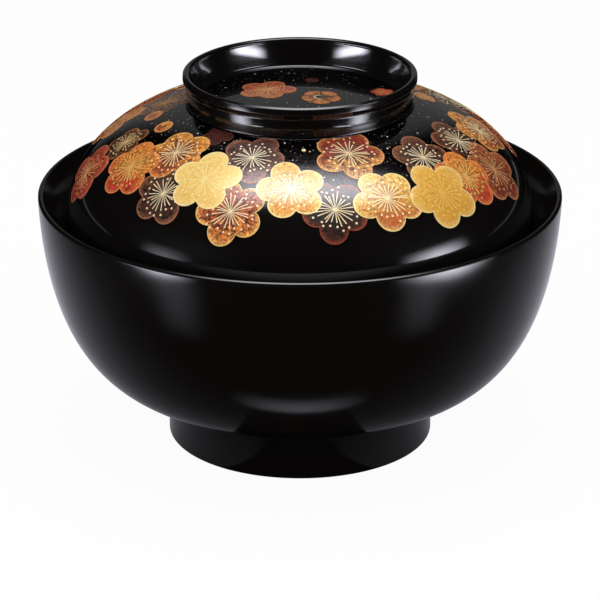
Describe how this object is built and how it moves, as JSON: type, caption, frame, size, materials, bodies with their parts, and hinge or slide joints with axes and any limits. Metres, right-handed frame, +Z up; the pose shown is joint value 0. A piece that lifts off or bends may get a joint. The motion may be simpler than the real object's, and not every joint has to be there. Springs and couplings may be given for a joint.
{
  "type": "lidded soup bowl",
  "caption": "Round lacquered soup bowl on a foot ring, with a domed lid that drops inside the rim and carries a ring handle.",
  "frame": {"origin": "centre of the circle on which the foot ring stands, at table height", "axes": "+Z up along the axis that both pieces were turned about, from the foot towards the lid's ring; X and Y level, and equal on a round piece, with the pictured side facing -Y"},
  "size_m": [0.14, 0.14, 0.102],
  "materials": {
    "bowl_lacquer": "black lacquer, satin to gloss, over a turned core",
    "lid_lacquer": "gloss black lacquer over a turned core",
    "gold_decoration": "sprinkled gold and coloured powder under clear lacquer"
  },
  "bodies": {
    "bowl": {"bowl": "bowl_lacquer"},
    "lid": {"lid": "lid_lacquer"}
  },
  "joints": [
    {"name": "lid_lift", "type": "slide", "parent": "bowl", "child": "lid", "axis": [0, 0, 1], "range_m": [0, 0.08]}
  ]
}
